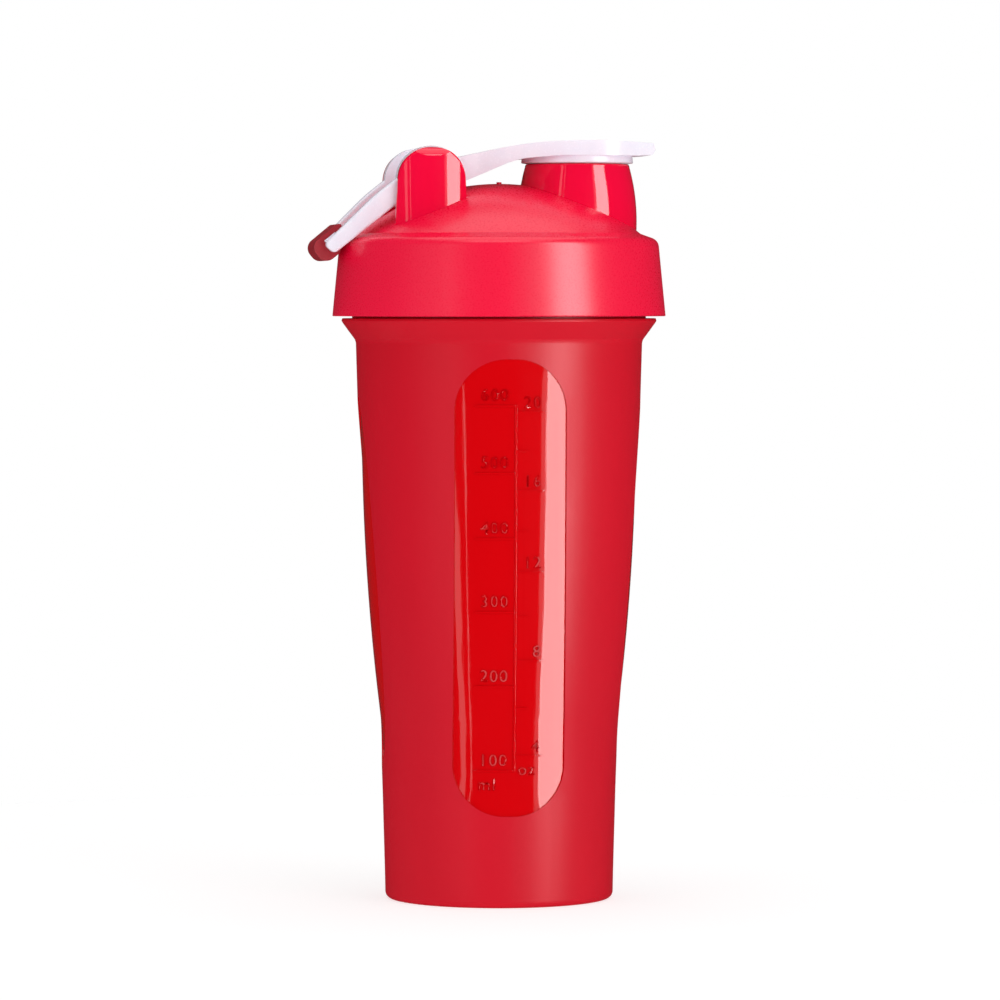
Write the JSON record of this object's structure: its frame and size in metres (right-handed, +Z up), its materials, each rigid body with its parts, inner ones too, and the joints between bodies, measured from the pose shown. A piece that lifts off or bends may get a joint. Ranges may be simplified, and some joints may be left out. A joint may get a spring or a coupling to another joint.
{
  "type": "protein shaker bottle",
  "caption": "Screw-top shaker bottle with a flip cap over its drinking spout, a swinging carry loop and a loose wire whisk ball inside.",
  "frame": {"origin": "centre of the base ring on the cup's axis, at the surface it stands on", "axes": "+Z up the cup's axis, +X towards the drinking spout, the polished scale window faces -Y"},
  "size_m": [0.1054, 0.0988, 0.2248],
  "materials": {
    "cup_plastic": "fine matte texture with a polished window and side grips",
    "lid_plastic": "satin skirt and dome, polished spout and ears",
    "white_plastic": "semi-gloss",
    "grip_rubber": "matte soft-touch",
    "seal_silicone": "matte translucent",
    "pin_acetal": "smooth",
    "ball_wire": "polished stainless wire"
  },
  "bodies": {
    "cup_body": {"cup": "cup_plastic"},
    "ball_body": {"whisk_ball": "ball_wire"},
    "gasket_body": {"lid_gasket": "seal_silicone"},
    "lid_body": {"lid": "lid_plastic", "hinge_pin": "pin_acetal"},
    "cap_body": {"flip_cap": "white_plastic", "spout_seal": "seal_silicone"},
    "loop_body": {"carry_loop": "white_plastic", "loop_grip": "grip_rubber"}
  },
  "joints": [
    {"name": "lid_rise", "type": "slide", "parent": "cup_body", "child": "gasket_body", "axis": [0, 0, 1], "range_m": [0, 0.024]},
    {"name": "lid_turn", "type": "hinge", "parent": "gasket_body", "child": "lid_body", "pos_m": [0, 0, 0.18], "axis": [0, 0, 1], "range_deg": [0, 720]},
    {"name": "cap_flip", "type": "hinge", "parent": "lid_body", "child": "cap_body", "pos_m": [-0.0225, 0, 0.2129], "axis": [0, -1, 0], "range_deg": [0, 100]},
    {"name": "loop_swing", "type": "hinge", "parent": "lid_body", "child": "loop_body", "pos_m": [-0.0225, 0, 0.2129], "axis": [0, 1, 0], "range_deg": [0, 66]},
    {"name": "ball_bounce", "type": "slide", "parent": "cup_body", "child": "ball_body", "axis": [0, 0, 1], "range_m": [0, 0.12]}
  ],
  "couplings": [
    {"joint": "lid_rise", "follows": "lid_turn", "m_per_rad": 0.0019099}
  ]
}
